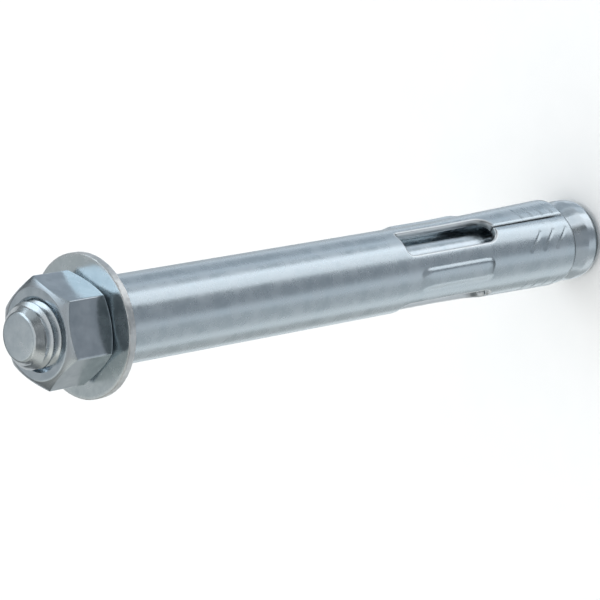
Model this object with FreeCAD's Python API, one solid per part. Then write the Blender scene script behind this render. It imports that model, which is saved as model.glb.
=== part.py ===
import FreeCAD, Part
import math
import os

from FreeCAD import Vector

# Sleeve anchor of zinc plated steel, in millimetres
# It stands on the flat end of its cone head, with its nut up. Z is the axis of the anchor,
# and Z = 0 is the flat end of the head. Angles are measured around Z from the X axis.
# The four pieces are the stud with its cone head, the rolled sleeve, the washer and the nut.

# Stud with its cone head, one piece
thread_d = 12.0
thread_length = 60.0
thread_runout = 1.0
tip_out = 4.0
tip_chamfer_w = 1.1
tip_chamfer_h = 0.7
shank_step = 0.6
cone_deg = 15.0
head_out = 9.0
head_over_sleeve = 0.05
head_edge_r = 2.3

# Sleeve, rolled from one strip of sheet, with play around the thread and seated on the cone
sleeve_wall = 1.4
sleeve_length = 120.0
sleeve_play = 0.6
cone_play = 0.05
seam_w = 0.3

# Expansion legs, parted by a window and a slit each
leg_count = 3
first_leg_deg = 7.5
window_deg = 43.0
window_from_end = 20.3
window_length = 25.2
window_corner_r = 1.2
slit_w = 0.3
slit_end_w = 0.45

# Outward spread of the legs, along their last stretch
flare_length = 31.8
flare_at_middle = 0.85
flare_at_slit = 0.22

# Panel pressed outwards on each leg
panel_deg = 36.0
panel_from_end = 22.8
panel_length = 21.0
panel_rise = 0.4

# Washer, with play around the thread
washer_rim = 5.0
washer_t = 1.5
washer_play = 0.5
washer_edge_r = 0.25

# Nut, chamfered and countersunk on both sides, with running play around the thread
nut_flats = 17.6
nut_h = 10.0
nut_corner_deg = -3.3
nut_face_step = 0.6
nut_chamfer_deg = 30.0
nut_countersink_w = 0.65
nut_countersink_deg = 45.0
thread_play = 0.05

# Radii and heights that follow from the sizes
thread_r = thread_d / 2
shank_r = thread_r - shank_step
bore_r = thread_r + sleeve_play
sleeve_r = bore_r + sleeve_wall
head_r = sleeve_r + head_over_sleeve
washer_r = sleeve_r + washer_rim
sleeve_end_z = head_out
flare_start_z = sleeve_end_z + flare_length
sleeve_top_z = sleeve_end_z + sleeve_length
window_low_z = sleeve_end_z + window_from_end
window_high_z = window_low_z + window_length
panel_low_z = sleeve_end_z + panel_from_end
panel_high_z = panel_low_z + panel_length
nut_low_z = sleeve_top_z + washer_t
nut_high_z = nut_low_z + nut_h
tip_z = nut_high_z + tip_out
leg_pitch_deg = 360 / leg_count

# How far a cutter reaches past the skin that it cuts
overcut = 1.0


def at_angle(radius, deg, z):
    """The point at this radius and angle around the axis."""
    return Vector(radius * math.cos(math.radians(deg)), radius * math.sin(math.radians(deg)), z)


def turned(shape, deg):
    """A copy of the shape, turned around the axis."""
    copy = shape.copy()
    copy.rotate(Vector(0, 0, 0), Vector(0, 0, 1), deg)
    return copy


def revolved(points):
    """The solid that a closed outline of (radius, height) points sweeps around the axis."""
    corners = [Vector(r, 0, z) for r, z in points]
    face = Part.Face(Part.makePolygon(corners + corners[:1]))
    return face.revolve(Vector(0, 0, 0), Vector(0, 0, 1), 360)


def spread(z):
    """How far a leg's middle and its slit edges stand out from the plain sleeve at this height."""
    share = max(0.0, (flare_start_z - z) / flare_length)
    return flare_at_middle * share, flare_at_slit * share


def leg_arc(z):
    """Centre offset and outer radius of the arc that a leg's section follows at this height."""
    at_middle, at_slit = spread(z)
    middle_r = sleeve_r + at_middle
    slit_r = sleeve_r + at_slit
    half = math.radians(leg_pitch_deg / 2)
    offset = (middle_r ** 2 - slit_r ** 2) / (2 * (middle_r - slit_r * math.cos(half)))
    return offset, middle_r - offset


def ring_section(z, offset, inner_r, outer_r, half_deg):
    """A closed piece of a ring, centred on the X direction at an offset from the axis."""
    def corner(radius, deg):
        return at_angle(radius, deg, z) + Vector(offset, 0, 0)
    outer = Part.Arc(corner(outer_r, -half_deg), corner(outer_r, 0), corner(outer_r, half_deg))
    inner = Part.Arc(corner(inner_r, half_deg), corner(inner_r, 0), corner(inner_r, -half_deg))
    side = Part.makeLine(corner(outer_r, half_deg), corner(inner_r, half_deg))
    back = Part.makeLine(corner(inner_r, -half_deg), corner(outer_r, -half_deg))
    return Part.Wire([outer.toShape(), side, inner.toShape(), back])


def leg_section(z, gap):
    """A leg's whole section, which stops half a gap short of the slit on both sides."""
    offset, radius = leg_arc(z)
    edge_x = (sleeve_r + spread(z)[1]) * math.cos(math.radians(leg_pitch_deg / 2))
    edge_y = (sleeve_r + spread(z)[1]) * math.sin(math.radians(leg_pitch_deg / 2))
    edge_deg = math.degrees(math.atan2(edge_y, edge_x - offset))
    half_deg = edge_deg - math.degrees(gap / 2 / radius)
    return ring_section(z, offset, radius - sleeve_wall, radius, half_deg)


def panel_section(z, lift_in, lift_out):
    """A section over a panel's width, from one lift to another above the middle of the wall."""
    offset, radius = leg_arc(z)
    middle = radius - sleeve_wall / 2
    return ring_section(z, offset, middle + lift_in, middle + lift_out, panel_deg / 2)


def panel_block(lift_in, lift_out):
    """A block over one panel's whole length, which bends with the leg where the flare starts."""
    block = None
    stations = [panel_high_z, panel_low_z]
    if panel_low_z < flare_start_z < panel_high_z:
        stations.insert(1, flare_start_z)
    for high, low in zip(stations, stations[1:]):
        sections = [panel_section(high, lift_in, lift_out), panel_section(low, lift_in, lift_out)]
        stretch = Part.makeLoft(sections, True, True)
        block = stretch if block is None else block.fuse(stretch)
    return block


def window_outline(x):
    """A window's outline at this distance from the axis: square at the top, round at the bottom."""
    half = x * math.tan(math.radians(window_deg / 2))
    depth = sleeve_r * math.tan(math.radians(window_deg / 2))
    corner = window_corner_r
    bend = corner * (1 - math.sqrt(0.5))
    low = window_low_z + depth
    high = window_high_z

    def arc(*points):
        return Part.Arc(*[Vector(x, y, z) for y, z in points]).toShape()

    def line(start, end):
        return Part.makeLine(Vector(x, *start), Vector(x, *end))

    return Part.Wire([
        arc((-half, low), (0, low - depth), (half, low)),
        line((half, low), (half, high - corner)),
        arc((half, high - corner), (half - bend, high - bend), (half - corner, high)),
        line((half - corner, high), (corner - half, high)),
        arc((corner - half, high), (bend - half, high - bend), (-half, high - corner)),
        line((-half, high - corner), (-half, low)),
    ])


def make_window():
    """The cutter for one window, with sides that run towards the axis."""
    inner = window_outline(bore_r - overcut)
    outer = window_outline(sleeve_r + flare_at_middle + overcut)
    return Part.makeLoft([inner, outer], True, True)


def make_sleeve():
    """The sleeve: a rolled tube that ends in spread legs, each with a pressed panel."""
    tube = Part.makeCylinder(sleeve_r, sleeve_length - flare_length, Vector(0, 0, flare_start_z))
    seam_deg = first_leg_deg + leg_pitch_deg / 2
    seam_size = (sleeve_r + overcut, seam_w, sleeve_length)
    seam = turned(Part.makeBox(*seam_size, Vector(0, -seam_w / 2, flare_start_z)), seam_deg)
    bore = Part.makeCylinder(bore_r, sleeve_length, Vector(0, 0, flare_start_z))
    sleeve = tube.cut(bore).cut(seam)
    leg = Part.makeLoft(
        [leg_section(flare_start_z, slit_w), leg_section(sleeve_end_z, slit_end_w)], True, True
    )
    recess = panel_block(-sleeve_wall / 2 - overcut, panel_rise - sleeve_wall / 2)
    panel = panel_block(0, sleeve_wall / 2 + panel_rise)
    window = make_window()
    leg_angles = [first_leg_deg + leg_pitch_deg * n for n in range(leg_count)]
    sleeve = sleeve.fuse([turned(leg, deg) for deg in leg_angles])
    sleeve = sleeve.fuse([turned(panel, deg) for deg in leg_angles])
    sleeve = sleeve.cut([turned(recess, deg) for deg in leg_angles])
    sleeve = sleeve.cut([turned(window, deg + leg_pitch_deg / 2) for deg in leg_angles])
    return sleeve.removeSplitter()


def make_stud():
    """The stud: flat foot, round edge, short band, cone, shank, thread and chamfered tip."""
    slope = math.tan(math.radians(cone_deg))
    end_arc, end_r = leg_arc(sleeve_end_z)
    inner_r = end_r - sleeve_wall
    half = math.radians(leg_pitch_deg / 2)
    seat_r = end_arc * math.cos(half) + math.sqrt(inner_r ** 2 - (end_arc * math.sin(half)) ** 2)
    cone_low_z = sleeve_end_z - (head_r - (seat_r - cone_play)) / slope
    cone_high_z = cone_low_z + (head_r - shank_r) / slope
    thread_low_z = tip_z - thread_length
    outline = [
        (0, 0),
        (head_r, 0),
        (head_r, cone_low_z),
        (shank_r, cone_high_z),
        (shank_r, thread_low_z - thread_runout),
        (thread_r, thread_low_z),
        (thread_r, tip_z - tip_chamfer_h),
        (thread_r - tip_chamfer_w, tip_z),
        (0, tip_z),
    ]
    stud = revolved(outline)
    foot_edge = [edge for edge in stud.Edges if edge.BoundBox.ZMax < head_edge_r / 2]
    return stud.makeFillet(head_edge_r, foot_edge)


def make_washer():
    """The washer: a flat ring, its faces parted at the sleeve's outline, where a fixture's seat begins."""
    foot = Vector(0, 0, sleeve_top_z)
    whole = Part.makeCylinder(washer_r, washer_t, foot)
    hub = Part.makeCylinder(sleeve_r, washer_t, foot)
    bore = Part.makeCylinder(thread_r + washer_play, washer_t, foot)
    ring = whole.cut(hub).fuse(hub.cut(bore)).Solids[0]
    rims = [edge for edge in ring.Edges if edge.Closed and edge.Curve.Radius > sleeve_r]
    return ring.makeFillet(washer_edge_r, rims)


def make_nut():
    """The nut: a hexagon between two flat cones, with a bore that is countersunk at both ends."""
    corner_r = nut_flats / 2 / math.cos(math.radians(30))
    corners = [at_angle(corner_r, nut_corner_deg + 60 * n, nut_low_z) for n in range(6)]
    hexagon = Part.Face(Part.makePolygon(corners + corners[:1]))
    prism = hexagon.extrude(Vector(0, 0, nut_h))
    face_r = nut_flats / 2 - nut_face_step
    middle_z = nut_low_z + nut_h / 2
    waist_r = face_r + nut_h / 2 / math.tan(math.radians(nut_chamfer_deg))
    rounded = revolved([
        (0, nut_low_z),
        (face_r, nut_low_z),
        (waist_r, middle_z),
        (face_r, nut_high_z),
        (0, nut_high_z),
    ])
    bore_radius = thread_r + thread_play
    sink_r = bore_radius + nut_countersink_w
    sink_h = nut_countersink_w / math.tan(math.radians(nut_countersink_deg))
    bore = revolved([
        (0, nut_low_z),
        (sink_r, nut_low_z),
        (bore_radius, nut_low_z + sink_h),
        (bore_radius, nut_high_z - sink_h),
        (sink_r, nut_high_z),
        (0, nut_high_z),
    ])
    return prism.common(rounded).cut(bore)


pieces = {
    "stud": make_stud(),
    "sleeve": make_sleeve(),
    "washer": make_washer(),
    "hex_nut": make_nut(),
}
os.makedirs("parts", exist_ok=True)
for name, shape in pieces.items():
    box = shape.BoundBox
    print(
        f"{name}: {shape.Volume:.1f} mm3, solids {len(shape.Solids)}, valid {shape.isValid()},"
        f" z {box.ZMin:.2f} to {box.ZMax:.2f}, across {box.XLength:.2f} by {box.YLength:.2f}"
    )
    shape.exportStep(f"parts/{name}.step")
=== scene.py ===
# %% [markdown]
# # A sleeve anchor of zinc plated steel
# This lesson dresses a measured model of a sleeve anchor for concrete: a stud with a cone head, a
# rolled sleeve with three expansion legs, a punched washer and a hexagon nut. The measured solids
# are loaded first as a frame that nothing may move. Every piece made here takes its place from
# that frame, so nothing has to be fitted by eye afterwards.

# %% Load the frame
import math

import bpy
import numpy as np
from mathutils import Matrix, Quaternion, Vector
from mathutils.geometry import delaunay_2d_cdt
from mathutils.kdtree import KDTree


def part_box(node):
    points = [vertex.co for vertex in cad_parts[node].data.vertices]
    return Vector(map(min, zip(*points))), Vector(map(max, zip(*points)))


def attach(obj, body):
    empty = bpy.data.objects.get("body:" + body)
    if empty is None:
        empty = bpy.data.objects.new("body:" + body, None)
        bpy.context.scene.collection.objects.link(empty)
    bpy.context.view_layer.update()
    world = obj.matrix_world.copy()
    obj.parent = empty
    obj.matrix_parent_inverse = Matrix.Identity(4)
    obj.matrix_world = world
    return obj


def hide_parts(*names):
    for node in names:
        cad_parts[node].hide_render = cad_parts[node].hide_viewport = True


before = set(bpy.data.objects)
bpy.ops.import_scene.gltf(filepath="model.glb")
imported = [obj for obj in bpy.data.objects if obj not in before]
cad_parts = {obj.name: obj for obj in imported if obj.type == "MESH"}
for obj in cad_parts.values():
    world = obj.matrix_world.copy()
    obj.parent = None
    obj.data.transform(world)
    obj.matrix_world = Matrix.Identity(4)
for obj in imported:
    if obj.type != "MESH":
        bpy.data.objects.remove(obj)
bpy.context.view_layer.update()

MM = 0.001
for name in sorted(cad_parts):
    low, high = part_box(name)
    print(name, "reaches from", round(low.z / MM, 2), "to", round(high.z / MM, 2), "mm")

# %% [markdown]
# ## Sizes
# A maker's drawing has a few driving sizes and works the rest out. The heights and radii come from
# the frame. What the frame can't tell, such as the thread's pitch or the width of a slit, is written
# once, where it is first needed, in millimetres. All four pieces are turned, rolled or pressed
# around one axis, which is Z, and the anchor stands on its cone head.

# %% Heights and radii from the frame
def heights_at(node, radius):
    """Heights of the frame's points that lie at this radius from the axis, lowest first."""
    points = np.array([v.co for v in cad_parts[node].data.vertices]) / MM
    on_it = abs(np.hypot(points[:, 0], points[:, 1]) - radius) < 0.01
    return np.sort(points[on_it, 2])


thread_r = 6.0
shank_r = 5.4
sleeve_r = 8.0
head_r = 8.05
head_edge_r = 2.3
sleeve_end_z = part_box("sleeve")[0].z / MM
sleeve_top_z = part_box("sleeve")[1].z / MM
tip_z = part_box("stud")[1].z / MM
washer_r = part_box("washer")[1].x / MM
nut_low_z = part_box("hex_nut")[0].z / MM
nut_high_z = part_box("hex_nut")[1].z / MM
cone_low_z = heights_at("stud", head_r)[-1]
cone_high_z = heights_at("stud", shank_r)[0]
thread_low_z = heights_at("stud", shank_r)[-1]
print("cone from", round(cone_low_z, 2), "to", round(cone_high_z, 2), "thread from", thread_low_z)

# %% [markdown]
# ## Small helpers
# Node trees are long lists of nodes and links, so one function adds a node with its settings and
# its links. Everything turned on a lathe is a stack of rings with as many points each, so another
# function puts a skin over such rings. Each point also carries a number that says how worn it is.
# Edges, thread crests, pressed marks and turned cones have a colour of their own and a duller
# gloss than the plate around them, and the finishes read that number. On the sleeve's rims and
# pressed marks that colour is lighter than the plate: wear, and a painted highlight that makes
# them show as bright lines.

# %% Add a node
def add(tree, kind, links=None, **settings):
    """Adds a node, gives it its settings, and links or sets its inputs by name or number."""
    node = tree.nodes.new(kind)
    for key, value in settings.items():
        setattr(node, key, value)
    for socket, value in (links or {}).items():
        if isinstance(value, bpy.types.Node):
            value = value.outputs[0]
        if isinstance(value, bpy.types.NodeSocket):
            tree.links.new(value, node.inputs[socket])
        else:
            node.inputs[socket].default_value = value
    return node


# %% Make a mesh piece
def new_piece(name, points, faces, wear_and_highlight):
    """A mesh object from points in millimetres, each with how worn it is from 0 to 1, which on the sleeve's
    rims and marks also sets a painted highlight.
    """
    mesh = bpy.data.meshes.new(name)
    mesh.from_pydata((np.asarray(points) * MM).tolist(), [], faces)
    mesh.attributes.new("wear_and_highlight", "FLOAT", "POINT").data.foreach_set("value", np.asarray(wear_and_highlight, np.float32))
    piece = bpy.data.objects.new(name, mesh)
    bpy.context.scene.collection.objects.link(piece)
    return piece


# %% Skin rings
def turned_ring(radius, height, columns):
    """A ring of points around the axis."""
    angles = np.arange(columns) * 2 * math.pi / columns
    return np.stack([radius * np.cos(angles), radius * np.sin(angles), np.full(columns, height)], 1)


def skin(rings):
    """Points and faces of a skin over rings, each ring a list of as many points as the next."""
    rings = np.asarray(rings)
    rows, columns = rings.shape[:2]
    faces = []
    for row in range(rows - 1):
        for column in range(columns):
            beside = (column + 1) % columns
            start = row * columns
            faces.append((start + column, start + beside, start + columns + beside, start + columns + column))
    return rings.reshape(-1, 3), faces


def softened(before, corner, after, reach):
    """Three points that round a corner of a section, starting this far from it."""
    before, corner, after = (np.array(p, float) for p in (before, corner, after))
    first = corner + (before - corner) / np.linalg.norm(before - corner) * reach
    last = corner + (after - corner) / np.linalg.norm(after - corner) * reach
    return [first, (first + 2 * corner + last) / 4, last]


# %% Finish a piece
def finished(piece, sharp_deg):
    """Smooth shading that stops at edges sharper than this."""
    piece.data.shade_smooth()
    piece.data.set_sharp_from_angle(angle=math.radians(sharp_deg))
    triangles = sum(len(p.vertices) - 2 for p in piece.data.polygons)
    print(piece.name, "has", triangles, "triangles")


# %% [markdown]
# ## Rolled thread, a rule for Geometry Nodes
# The stud has an M12 thread with a pitch of 1.75 mm, rolled between dies, and the nut is tapped to
# match. A thread could be a profile swept along a spiral, but swept turns overlap and leave no
# clean end. Here a flat grid is bent round the axis instead. Each row of the grid climbs with the
# helix, so that crests and roots run exactly along rows, and rows that would leave the threaded
# stretch are squeezed flat at its ends and merged away. The radius follows a trapezium: a sixth of
# the pitch for the crest, a third for each flank, and a sixth for the root. At each end, a cone
# opens from a plain circle, which makes the chamfer, the runout or the countersink, and lets the
# thread be merged with the turned piece that comes into the tree.

# %% An empty tree
def new_tree(name, inputs):
    """An empty Geometry Nodes tree with geometry in and out, and these named inputs."""
    tree = bpy.data.node_groups.new(name, "GeometryNodeTree")
    tree.is_modifier = True
    tree.interface.new_socket("Geometry", in_out="INPUT", socket_type="NodeSocketGeometry")
    for label, kind in inputs.items():
        tree.interface.new_socket(label, in_out="INPUT", socket_type="NodeSocket" + kind)
    tree.interface.new_socket("Geometry", in_out="OUTPUT", socket_type="NodeSocketGeometry")
    return tree


# %% Thread: the flat grid
rows_per_turn = 12


def thread_grid(tree, given):
    """The grid, with each point's row and its share of a turn."""
    stretch = add(tree, "ShaderNodeMath", {0: given["High"], 1: given["Low"]}, operation="SUBTRACT")
    turns = add(tree, "ShaderNodeMath", {0: stretch, 1: given["Pitch"]}, operation="DIVIDE")
    more = add(tree, "ShaderNodeMath", {0: turns, 1: 2.0}, operation="ADD")
    spans = add(tree, "ShaderNodeMath", {0: more, 1: rows_per_turn}, operation="MULTIPLY")
    whole = add(tree, "ShaderNodeMath", {0: spans}, operation="CEIL")
    rows = add(tree, "ShaderNodeMath", {0: whole, 1: 1.0}, operation="ADD")
    round_rows = add(tree, "ShaderNodeMath", {0: given["Columns"], 1: 1.0}, operation="ADD")
    sizes = {"Size X": whole, "Size Y": given["Columns"], "Vertices X": rows, "Vertices Y": round_rows}
    grid = add(tree, "GeometryNodeMeshGrid", sizes)
    at = add(tree, "ShaderNodeSeparateXYZ", {0: add(tree, "GeometryNodeInputPosition")}).outputs
    half_rows = add(tree, "ShaderNodeMath", {0: whole, 1: 2.0}, operation="DIVIDE")
    row = add(tree, "ShaderNodeMath", {0: at["X"], 1: half_rows}, operation="ADD")
    share = add(tree, "ShaderNodeMath", {0: at["Y"], 1: given["Columns"]}, operation="DIVIDE")
    turn = add(tree, "ShaderNodeMath", {0: share, 1: 0.5}, operation="ADD")
    return grid, row, turn


# %% Thread: each point's height on its helix
def helix_height(tree, given, row, turn):
    """The height that row and turn give, kept between the two ends of the thread."""
    below = add(tree, "ShaderNodeMath", {0: given["Low"], 1: given["Crest height"]}, operation="SUBTRACT")
    below_turns = add(tree, "ShaderNodeMath", {0: below, 1: given["Pitch"]}, operation="DIVIDE")
    first = add(tree, "ShaderNodeMath", {0: below_turns, 1: 1.0}, operation="SUBTRACT")
    first_rows = add(tree, "ShaderNodeMath", {0: first, 1: rows_per_turn}, operation="MULTIPLY")
    first_row = add(tree, "ShaderNodeMath", {0: first_rows}, operation="FLOOR")
    this_row = add(tree, "ShaderNodeMath", {0: row, 1: first_row}, operation="ADD")
    climbed = add(tree, "ShaderNodeMath", {0: this_row, 1: rows_per_turn}, operation="DIVIDE")
    helix = add(tree, "ShaderNodeMath", {0: climbed, 1: turn}, operation="ADD")
    scaled = {0: helix, 1: given["Pitch"], 2: given["Crest height"]}
    free = add(tree, "ShaderNodeMath", scaled, operation="MULTIPLY_ADD")
    return add(tree, "ShaderNodeClamp", {"Value": free, "Min": given["Low"], "Max": given["High"]})


# %% Thread: each point's radius
def thread_radius(tree, given, height, turn):
    """The trapezium's radius inside the two end cones, and a wave from 0 at a root to 1 at a crest."""
    over = add(tree, "ShaderNodeMath", {0: height, 1: given["Crest height"]}, operation="SUBTRACT")
    over_turns = add(tree, "ShaderNodeMath", {0: over, 1: given["Pitch"]}, operation="DIVIDE")
    along = add(tree, "ShaderNodeMath", {0: over_turns, 1: turn}, operation="SUBTRACT")
    part = add(tree, "ShaderNodeMath", {0: along}, operation="FRACT")
    doubled = add(tree, "ShaderNodeMath", {0: part, 1: 2.0, 2: -1.0}, operation="MULTIPLY_ADD")
    wave = add(tree, "ShaderNodeMath", {0: doubled}, operation="ABSOLUTE")
    section = {"Value": wave, "From Min": 1 / 6, "From Max": 5 / 6}
    section.update({"To Min": given["Root radius"], "To Max": given["Crest radius"]})
    radius = add(tree, "ShaderNodeMapRange", section)
    for end, start, stop in (("Low", given["Low"], height), ("High", height, given["High"])):
        gap = add(tree, "ShaderNodeMath", {0: stop, 1: start}, operation="SUBTRACT")
        opening = add(tree, "ShaderNodeMath", {0: gap, 1: given[end + " end slope"]}, operation="MULTIPLY")
        end_radius = given[end + " end radius"]
        least = add(tree, "ShaderNodeMath", {0: end_radius, 1: opening}, operation="SUBTRACT")
        most = add(tree, "ShaderNodeMath", {0: end_radius, 1: opening}, operation="ADD")
        radius = add(tree, "ShaderNodeClamp", {"Value": radius, "Min": least, "Max": most})
    return radius, wave


# %% Place round an axis
def place_round(tree, angle, radius, height):
    """The point at this angle, radius and height."""
    ways = []
    for operation in ("COSINE", "SINE"):
        way = add(tree, "ShaderNodeMath", {0: angle}, operation=operation)
        ways.append(add(tree, "ShaderNodeMath", {0: way, 1: radius}, operation="MULTIPLY"))
    return add(tree, "ShaderNodeCombineXYZ", {"X": ways[0], "Y": ways[1], "Z": height})


# %% Thread: the whole tree
crest_worn_share = 0.8 / 6


def make_thread_tree():
    """Adds a helical thread to the turned piece that comes in, and merges the two."""
    lengths = ["Pitch", "Crest radius", "Root radius", "Low", "High", "Crest height", "Start angle"]
    ends = ["Low end radius", "Low end slope", "High end radius", "High end slope"]
    inputs = {label: "Float" for label in lengths + ends}
    inputs.update({"Columns": "Int", "Inside": "Bool", "Finish": "Material"})
    tree = new_tree("rolled_thread", inputs)
    given = add(tree, "NodeGroupInput").outputs
    grid, row, turn = thread_grid(tree, given)
    height = helix_height(tree, given, row, turn)
    radius, wave = thread_radius(tree, given, height, turn)
    angle_in = {0: turn, 1: 2 * math.pi, 2: given["Start angle"]}
    angle = add(tree, "ShaderNodeMath", angle_in, operation="MULTIPLY_ADD")
    place = place_round(tree, angle, radius, height)
    bent = add(tree, "GeometryNodeSetPosition", {"Geometry": grid, "Position": place})

    # Crests are worn, and an outer thread is turned right side out
    rub_and_highlight = {"Value": wave, "From Min": 5 / 6 - crest_worn_share, "From Max": 5 / 6}
    crest = add(tree, "ShaderNodeMapRange", rub_and_highlight)
    named = {"Geometry": bent, "Name": "wear_and_highlight", "Value": crest}
    marked = add(tree, "GeometryNodeStoreNamedAttribute", named, domain="POINT", data_type="FLOAT")
    outside = add(tree, "FunctionNodeBooleanMath", {0: given["Inside"]}, operation="NOT")
    faced = add(tree, "GeometryNodeFlipFaces", {"Mesh": marked, "Selection": outside})

    # The two skins are merged into one
    both = add(tree, "GeometryNodeJoinGeometry", {"Geometry": faced})
    tree.links.new(given["Geometry"], both.inputs["Geometry"])
    merged = add(tree, "GeometryNodeMergeByDistance", {"Geometry": both, "Distance": 0.01 * MM})
    real = add(tree, "GeometryNodeRealizeInstances", {"Geometry": merged})
    final = add(tree, "GeometryNodeSetMaterial", {"Geometry": real, "Material": given["Finish"]})
    add(tree, "NodeGroupOutput", {"Geometry": final})
    return tree


thread_tree = make_thread_tree()
print("thread tree has", len(thread_tree.nodes), "nodes")


# %% Bake a tree into a piece
def baked(piece, tree, values):
    """Runs the tree on the piece with these input values, and keeps the result as a plain mesh."""
    modifier = piece.modifiers.new(tree.name, "NODES")
    modifier.node_group = tree
    for socket in tree.interface.items_tree:
        if socket.item_type == "SOCKET" and socket.in_out == "INPUT" and socket.name in values:
            modifier[socket.identifier] = values[socket.name]
    graph = bpy.context.evaluated_depsgraph_get()
    made = bpy.data.meshes.new_from_object(piece.evaluated_get(graph))
    piece.modifiers.remove(modifier)
    made.materials.clear()
    made.materials.append(values["Finish"])
    made.polygons.foreach_set("material_index", np.zeros(len(made.polygons), np.int32))
    piece.data = made
    made.name = piece.name
    return piece


# %% [markdown]
# ## Zinc plate, the finish of every piece
# All four pieces are steel with bright zinc plate and a clear blue passivate on top. Zinc is a
# metal, so its colour is the colour of its reflections: a pale grey that leans to blue. An image
# could carry the surface, but it would blur close up and end at seams. Noise in the object's own
# millimetres has neither fault. Plating copies the surface below it, so each piece keeps the marks
# of how it was made, and one function lays the plate over any such marks. The passivate's clouds
# are a few millimetres wide and are drawn as they are, with soft waves a little higher than real
# ones, so that they show. The grain of the plate is finer than the render can show, so it is drawn
# as coarse as 0.25 mm.

# %% Colour and scale helpers
def colour(code):
    """Linear colour from an sRGB hex code."""
    parts = [int(code[i:i + 2], 16) / 255 for i in (0, 2, 4)]
    linear = [p / 12.92 if p <= 0.04045 else ((p + 0.055) / 1.055) ** 2.4 for p in parts]
    return (*linear, 1.0)


def per_size(size_mm):
    """Scale of a pattern whose repeat is this long."""
    return 1 / (size_mm * MM)


# %% Zinc plate over the marks of the making
grain_mm = 0.25
wave_share = 0.008
cloud_range = {"From Min": 0.3, "From Max": 0.7}


def zinc_plate(
    name, pale, deep, wear_and_highlight_tint, cloud_mm, marks_mm, lift_mm, rough, worn_rough=0.06, grain_lift_mm=0.002,
):
    """Zinc of two cloudy tints and a third where it is worn, over marks of the making. On the sleeve's rims
    and pressed marks the third tint is lighter: wear and a painted highlight.

    marks_mm is how long the marks are along X, Y and Z, and lift_mm is how high. rough goes from the
    glossiest cloud to the dullest, and worn_rough is added where the piece is worn.
    """
    material = bpy.data.materials.new(name)
    material.use_nodes = True
    tree = material.node_tree
    shader = tree.nodes["Principled BSDF"]
    shader.inputs["Metallic"].default_value = 1.0
    where = add(tree, "ShaderNodeTexCoord").outputs["Object"]
    cloud_in = {"Vector": where, "Scale": per_size(cloud_mm), "Detail": 3.0, "Roughness": 0.6}
    clouds = add(tree, "ShaderNodeTexNoise", cloud_in)
    grain_in = {"Vector": where, "Scale": per_size(grain_mm), "Detail": 2.0}
    grain = add(tree, "ShaderNodeTexNoise", grain_in)
    stretch_in = {"Vector": where, "Scale": [per_size(length) for length in marks_mm]}
    stretched = add(tree, "ShaderNodeMapping", stretch_in)
    marks = add(tree, "ShaderNodeTexNoise", {"Vector": stretched, "Scale": 1.0, "Detail": 3.0})

    # Colour: two tints mixed by the clouds, and the third where the piece is worn, which on the
    # sleeve's rims and marks is a lighter tint that paints a highlight along them
    spread = add(tree, "ShaderNodeMapRange", {"Value": clouds, **cloud_range})
    mix_in = {0: spread, 6: colour(deep), 7: colour(pale)}
    mixed = add(tree, "ShaderNodeMix", mix_in, data_type="RGBA").outputs[2]
    wear_and_highlight = add(tree, "ShaderNodeAttribute", attribute_name="wear_and_highlight").outputs["Fac"]
    edge_in = {0: wear_and_highlight, 6: mixed, 7: colour(wear_and_highlight_tint)}
    edged = add(tree, "ShaderNodeMix", edge_in, data_type="RGBA").outputs[2]
    tree.links.new(edged, shader.inputs["Base Color"])

    # Gloss: cloudy, and duller where worn
    rough_in = {"Value": clouds, **cloud_range, "To Min": rough[0], "To Max": rough[1]}
    satin = add(tree, "ShaderNodeMapRange", rough_in)
    duller = add(tree, "ShaderNodeMath", {0: wear_and_highlight, 1: worn_rough, 2: satin}, operation="MULTIPLY_ADD")
    tree.links.new(duller.outputs[0], shader.inputs["Roughness"])

    # Relief: soft waves under the clouds, then the marks, then the grain
    normal = None
    for height, lift in ((clouds, cloud_mm * wave_share), (marks, lift_mm), (grain, grain_lift_mm)):
        bump_in = {"Height": height, "Distance": lift * MM, "Strength": 1.0}
        if normal:
            bump_in["Normal"] = normal
        normal = add(tree, "ShaderNodeBump", bump_in)
    tree.links.new(normal.outputs[0], shader.inputs["Normal"])
    return material


# %% [markdown]
# ## Five finishes from one plate
# The stud was turned, so fine rings run round it: its marks are long across the axis and short
# along it. The sleeve was rolled from strip, whose faint lines now run round the tube too, wider
# and shallower. The washer's faces are plain sheet, with short marks that have no direction. Its
# rim was torn by the punch, which leaves it dull, coarse and grainy, so it scatters light and looks
# pale. The nut was pressed through a die, which leaves it the glossiest piece, with drag lines along
# its axis. Its two cones were turned afterwards, so they are greyer and much duller.

# %% Zinc on turned steel
turned_zinc = zinc_plate(
    "zinc_on_turned_steel", "dde6ec", "c6d2da", "f2f5f7", cloud_mm=4.0,
    marks_mm=(6, 6, 0.3), lift_mm=0.004, rough=(0.18, 0.28),
)

# %% Zinc on rolled strip
# Its third tint, f4f8fa, is lighter than the plate: on the sleeve's rims and pressed marks it is wear and a
# painted highlight.
strip_zinc = zinc_plate(
    "zinc_on_rolled_strip", "dbe6ed", "c9d6de", "f4f8fa", cloud_mm=3.5,
    marks_mm=(5, 5, 0.5), lift_mm=0.003, rough=(0.22, 0.32),
)

# %% Zinc on punched sheet, its faces and its torn rim
sheet_zinc = zinc_plate(
    "zinc_on_punched_sheet", "dde6ea", "ccd6da", "f0f2f2", cloud_mm=2.5,
    marks_mm=(0.6, 0.6, 0.6), lift_mm=0.006, rough=(0.21, 0.31),
)
torn_zinc = zinc_plate(
    "zinc_on_torn_edge", "eef0f0", "cfd4d6", "f2f3f3", cloud_mm=0.9,
    marks_mm=(0.4, 0.4, 0.25), lift_mm=0.04, rough=(0.27, 0.37), grain_lift_mm=0.012,
)

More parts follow.
